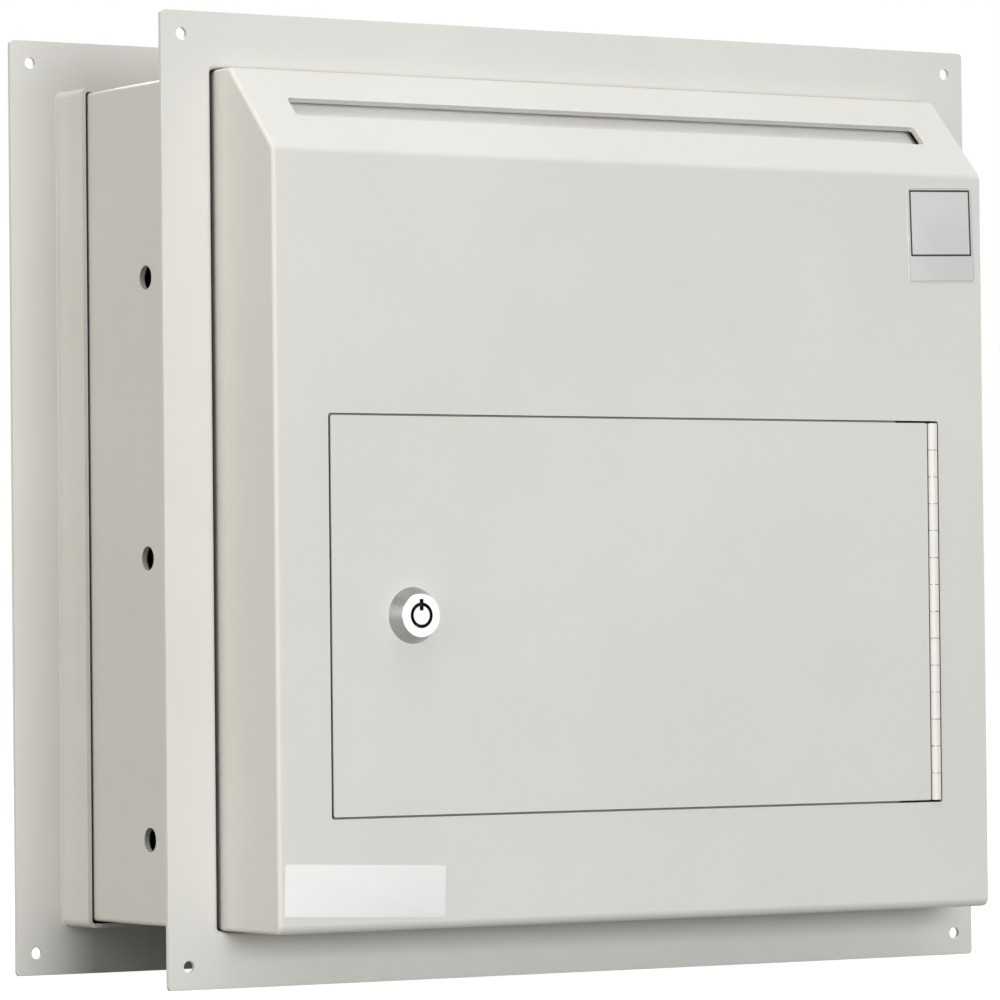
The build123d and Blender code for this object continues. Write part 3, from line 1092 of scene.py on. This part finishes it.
@dataclass
class DoorTrim:
    """What the scene adds to one door: spot welds of its hinge and the lock's thread."""

    side: Side
    spot_radius: float = 2.6 * MM
    spot_count: int = 6
    spot_place: float = 0.35
    segments: int = 24
    edge_reach: float = 0.1 * MM

    SPOT_PROFILE = ((1.0, -0.02), (1.0, 0.02), (0.86, 0.12), (0.70, 0.10), (0.45, 0.03), (0.12, 0.02))

    def spot(self, mesh: Mesh, centre: Vector, out: Vector) -> None:
        """Add one shallow dished spot weld.

        Args:
            mesh: mesh to add to.
            centre: its middle, on the sheet.
            out: unit vector away from the sheet, along Y.
        """
        loops = []
        for share, height in self.SPOT_PROFILE:
            ring = []
            for index in range(self.segments):
                angle = 2 * math.pi * index / self.segments
                around = Vector((math.cos(angle), 0, math.sin(angle))) * self.spot_radius * share
                ring.append(centre + around + out * height * MM)
            loops.append(ring)
        Shaper.loft(mesh, loops)

    def leaf_spots(self, leaf: str, body: str, finish: Material) -> Piece:
        """Spot welds down the plate of one hinge leaf.

        Args:
            leaf: name of the leaf's CAD node without the side.
            body: body that carries it.
            finish: its paint.

        Returns:
            The piece.
        """
        name = self.side.node(leaf)
        low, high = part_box(name)
        pin_low, pin_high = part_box(self.side.node("hinge_pin"))
        pin_x = (pin_low.x + pin_high.x) / 2
        far_x = low.x if abs(low.x - pin_x) > abs(high.x - pin_x) else high.x
        middle_x = far_x + (pin_x - far_x) * self.spot_place
        # The leaf's far edge is flat sheet, so its inner face lies where that edge ends.
        points = [vertex.co for vertex in frame["nodes"][name].data.vertices]
        edge = [point.y for point in points if abs(point.x - far_x) < self.edge_reach]
        plate_back = max(edge) if self.side is Side.OUTSIDE else min(edge)
        mesh = bmesh.new()
        for index in range(self.spot_count):
            height = low.z + (high.z - low.z) * (index + 0.5) / self.spot_count
            self.spot(mesh, Vector((middle_x, plate_back, height)), Vector((0, -self.side.facing, 0)))
        piece = Shaper.finish(mesh, f"{name}_spot_welds", finish, 60.0)
        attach(piece, body)
        return piece

    def build(self, finishes: Finishes) -> list[Piece]:
        """Build the trim of this door.

        Args:
            finishes: materials by name.

        Returns:
            The pieces.
        """
        paint = finishes["hinge_paint"]
        return [
            self.leaf_spots("hinge_door_leaf", self.side.door_body, paint),
            self.leaf_spots("hinge_frame_leaf", self.side.carrier, paint),
            LockThread(self.side).build(finishes[self.side.node("lock_housing")]),
        ]


@dataclass
class PhotoCamera:
    """Camera of the photograph, from a fit to the flanges, folds, holes and door."""

    yaw: float = -0.5591
    pitch: float = 0.0236
    roll: float = -0.010
    distance: float = 2.6285
    sidestep: float = -0.03826
    lift: float = 0.00056
    target: Vector = Vector((0.0, -0.002, 0.0))
    focal_pixels: float = 5716.74
    picture_pixels: float = 1000.0
    sensor: float = 36.0
    clip: Pair = (0.05, 60.0)

    def build(self) -> Piece:
        """Build the camera and make it the scene's own.

        Returns:
            The camera.
        """
        forward = Vector((-math.sin(self.yaw) * math.cos(self.pitch),
                          math.cos(self.yaw) * math.cos(self.pitch), math.sin(self.pitch)))
        level = Vector((math.cos(self.yaw), math.sin(self.yaw), 0.0))
        upright = level.cross(forward)
        right = level * math.cos(self.roll) + upright * math.sin(self.roll)
        up = upright * math.cos(self.roll) - level * math.sin(self.roll)
        place = self.target - forward * self.distance + right * self.sidestep + up * self.lift
        lens = bpy.data.cameras.new("photo_camera")
        lens.sensor_width = self.sensor
        lens.lens = self.focal_pixels / self.picture_pixels * self.sensor
        lens.clip_start, lens.clip_end = self.clip
        camera = bpy.data.objects.new("photo_camera", lens)
        turn = Matrix((right, up, -forward)).transposed().to_4x4()
        camera.matrix_world = Matrix.Translation(place) @ turn
        bpy.context.scene.collection.objects.link(camera)
        bpy.context.scene.camera = camera
        return camera


@dataclass(frozen=True)
class Softbox:
    """Large square lamp that points at the middle of the object."""

    name: str
    azimuth: float
    elevation: float
    share: float
    size: float = 1.6
    distance: float = 3.2
    colour: Colour = (1.0, 0.995, 0.98)

    def build(self) -> Piece:
        """Build the lamp. Its share is the light on a face turned to it: 1 shows a colour as written.

        Returns:
            The lamp.
        """
        level = math.cos(self.elevation)
        outward = Vector((-math.sin(self.azimuth) * level, -math.cos(self.azimuth) * level,
                          math.sin(self.elevation)))
        light = bpy.data.lights.new(self.name, "AREA")
        light.energy = self.share * (math.pi * self.distance) ** 2
        light.size = self.size
        light.color = self.colour
        lamp = bpy.data.objects.new(self.name, light)
        lamp.location = outward * self.distance
        lamp.rotation_euler = (-outward).to_track_quat("-Z", "Y").to_euler()
        bpy.context.scene.collection.objects.link(lamp)
        return lamp


@dataclass
class Studio:
    """Pale floor, white surroundings and soft light."""

    floor_half: float = 12.0
    sky_top: float = 0.52
    sky_side: float = 0.20
    sky_tint: Colour = (1.0, 0.995, 0.98)
    floor_light: Colour = (0.17, 0.17, 0.165)
    floor_shade: Colour = (0.30, 0.30, 0.30)
    floor_glow: float = 0.93
    lamps: tuple[Softbox, ...] = (
        Softbox("front_softbox", math.radians(11), math.radians(4), 0.69, 1.0),
        Softbox("high_softbox", math.radians(14), math.radians(75), 0.34),
        Softbox("left_softbox", math.radians(84), math.radians(14), 0.49, 2.2,
                colour=(1.0, 0.96, 0.865)),
        Softbox("back_softbox", math.radians(190), math.radians(22), 0.62),
        Softbox("right_softbox", math.radians(-97), math.radians(14), 0.46),
    )

    def build_world(self) -> None:
        """Soft light from above and all round; plain white to the camera and in reflections."""
        world = bpy.data.worlds.new("studio")
        bpy.context.scene.world = world
        graph = Graph.of(world)
        height = graph.add("ShaderNodeSeparateXYZ")
        graph.feed(height.inputs[0], graph.add("ShaderNodeTexCoord").outputs["Generated"])
        light = graph.add("ShaderNodeBackground")
        graph.feed(light.inputs["Color"], (*self.sky_tint, 1.0))
        strength = graph.span(height.outputs[2], 0.0, 1.0, self.sky_side, self.sky_top)
        graph.feed(light.inputs["Strength"], strength)
        white = graph.add("ShaderNodeBackground")
        graph.feed(white.inputs["Color"], (1.0, 1.0, 1.0, 1.0))
        output = graph.add("ShaderNodeOutputWorld")
        choice = graph.add("ShaderNodeMixShader")
        graph.feed(choice.inputs[0], self.seen_rays(graph))
        graph.feed(choice.inputs[1], light.outputs[0])
        graph.feed(choice.inputs[2], white.outputs[0])
        graph.feed(output.inputs["Surface"], choice.outputs[0])

    @staticmethod
    def seen_rays(graph: Graph) -> Socket:
        """Share of the plain white look: camera, mirror and glass rays.

        Args:
            graph: graph to add to.

        Returns:
            1 for those rays, otherwise 0.
        """
        rays = graph.add("ShaderNodeLightPath").outputs
        seen = graph.calc("MAXIMUM", rays["Is Camera Ray"], rays["Is Glossy Ray"])
        return graph.calc("MAXIMUM", seen, rays["Is Transmission Ray"])

    def build_floor(self, height: float) -> Piece:
        """Pale floor that keeps the object's shadow.

        Args:
            height: where the object stands.

        Returns:
            The floor.
        """
        mesh = bmesh.new()
        reach = self.floor_half
        corners = ((-reach, -reach), (reach, -reach), (reach, reach), (-reach, reach))
        mesh.faces.new([mesh.verts.new((x, y, height)) for x, y in corners])
        floor = Shaper.finish(mesh, "studio_floor", self.floor_finish())
        return floor

    def floor_finish(self) -> Material:
        """White to the camera apart from shadows, and a plain mid grey to the light.

        Returns:
            The material.
        """
        material = bpy.data.materials.new("studio_floor")
        graph = Graph.of(material)
        grey = graph.add("ShaderNodeBsdfDiffuse")
        graph.feed(grey.inputs["Color"], (*self.floor_light, 1.0))
        shade = graph.add("ShaderNodeBsdfDiffuse")
        graph.feed(shade.inputs["Color"], (*self.floor_shade, 1.0))
        glow = graph.add("ShaderNodeEmission")
        graph.feed(glow.inputs["Strength"], self.floor_glow)
        pale = graph.add("ShaderNodeAddShader")
        graph.feed(pale.inputs[0], shade.outputs[0])
        graph.feed(pale.inputs[1], glow.outputs[0])
        choice = graph.add("ShaderNodeMixShader")
        graph.feed(choice.inputs[0], self.seen_rays(graph))
        graph.feed(choice.inputs[1], grey.outputs[0])
        graph.feed(choice.inputs[2], pale.outputs[0])
        output = graph.add("ShaderNodeOutputMaterial")
        graph.feed(output.inputs["Surface"], choice.outputs[0])
        return material

    def build(self, floor_height: float) -> None:
        """Build the surroundings.

        Args:
            floor_height: where the object stands.
        """
        self.build_world()
        self.build_floor(floor_height)
        for lamp in self.lamps:
            lamp.build()
        bpy.context.scene.view_settings.view_transform = "Standard"


def lock_axis(side: Side) -> Point:
    """Point on a lock's axis, in the plane of its door's face.

    Args:
        side: which door.

    Returns:
        The point.
    """
    low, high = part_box(side.node("lock_plug"))
    door_low, door_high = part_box(side.node("door_panel"))
    face = door_low.y if side is Side.OUTSIDE else door_high.y
    return ((low.x + high.x) / 2, face, (low.z + high.z) / 2)


def make_finishes(effects: Effects) -> Finishes:
    """Build every finish once.

    Args:
        effects: shared effects.

    Returns:
        Materials by name.
    """
    paint_light = (0.655, 0.648, 0.624)
    paint_dark = (0.632, 0.624, 0.598)
    finishes = [
        PowderCoat("box_paint", paint_light, paint_dark),
        PowderCoat("flange_paint", (0.648, 0.643, 0.622), (0.628, 0.621, 0.598)),
        PowderCoat("door_paint", paint_light, paint_dark),
        # Same beige paint as the box, painted lighter: painted light on the baffle, which lies in the
        # box's shade behind the slot.
        PowderCoat("baffle_paint", (0.860, 0.850, 0.825), (0.820, 0.810, 0.785),
                   dust_shade_share=0.0, gap_shade_share=0.0),
        PowderCoat("stop_paint", (0.640, 0.628, 0.595), (0.610, 0.598, 0.565)),
        # Same paint as the door, painted lighter and with strong edge highlights: painted light on the
        # hinge barrel.
        PowderCoat("hinge_paint", (0.760, 0.750, 0.722), (0.730, 0.720, 0.690),
                   edge_highlight_share=0.5, gap_onset=0.36),
        Metal("hinge_steel", (0.60, 0.60, 0.59), (0.50, 0.50, 0.49), Lay.DRAWN),
        # Brass darkened, and darkened nearly fully in corners: painted shade on the pins sunk in the
        # keyway.
        Metal("tumbler_brass", (0.30, 0.23, 0.11), (0.24, 0.18, 0.08), Lay.PLATED, dust_shade_share=0.97),
        Metal("zinc_hardware", (0.70, 0.71, 0.72), (0.58, 0.60, 0.62), Lay.PLATED,
              roughness=0.34, lines=2600.0),
        Printed("badge_foil", (0.600, 0.600, 0.608), (0.560, 0.560, 0.570), 0.34, 0.2, 25.0),
        Printed("badge_ink", (0.020, 0.020, 0.022), (0.014, 0.014, 0.016), 0.4),
        Printed("badge_edge_ink", (0.40, 0.40, 0.41), (0.36, 0.36, 0.37), 0.4),
        Printed("label_vinyl", (0.785, 0.785, 0.795), (0.765, 0.765, 0.777), 0.38, 0.0, 25.0),
    ]
    for side in Side:
        axis = lock_axis(side)
        finishes += [
            Metal(side.node("lock_housing"), (0.91, 0.91, 0.91), (0.86, 0.86, 0.86), Lay.TURNED,
                  axis=axis, keyway=Keyway(7.4 * MM, skirt_reflection_share=1.0)),
            Metal(side.node("lock_core"), (0.88, 0.88, 0.88), (0.83, 0.83, 0.83), Lay.TURNED,
                  axis=axis, keyway=Keyway(7.3 * MM)),
        ]
    return {finish.name: finish.make(effects) for finish in finishes}


def dress_nodes(finishes: Finishes) -> None:
    """Give every CAD node the finish of its slot in the record.

    Args:
        finishes: materials by name.
    """
    for entry in frame["record"]["subparts"]:
        name = entry["node"]
        slot = entry["material_slot"]
        prefix = name.split("_")[0]
        finish = finishes.get(slot) or finishes[f"{prefix}_{slot}"]
        data = frame["nodes"][name].data
        data.materials.clear()
        data.materials.append(finish)
        log.info("dressed %s in %s", name, finish.name)


def main() -> None:
    """Dress the frame, add the pieces that the CAD leaves to the scene, and light them."""
    logging.basicConfig(level=logging.INFO, format="%(name)s: %(message)s")
    finishes = make_finishes(Effects())
    dress_nodes(finishes)
    front_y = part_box("box_wrap")[0].y
    assemblies = [BoxShell(), BoxLabels(front_y), InsideUnit(), *(DoorTrim(side) for side in Side)]
    for assembly in assemblies:
        for piece in assembly.build(finishes):
            log.info("built %s with %d faces", piece.name, len(piece.data.polygons))
    Studio().build(cad_box[0][2])
    PhotoCamera().build()


if __name__ == "__main__":
    main()
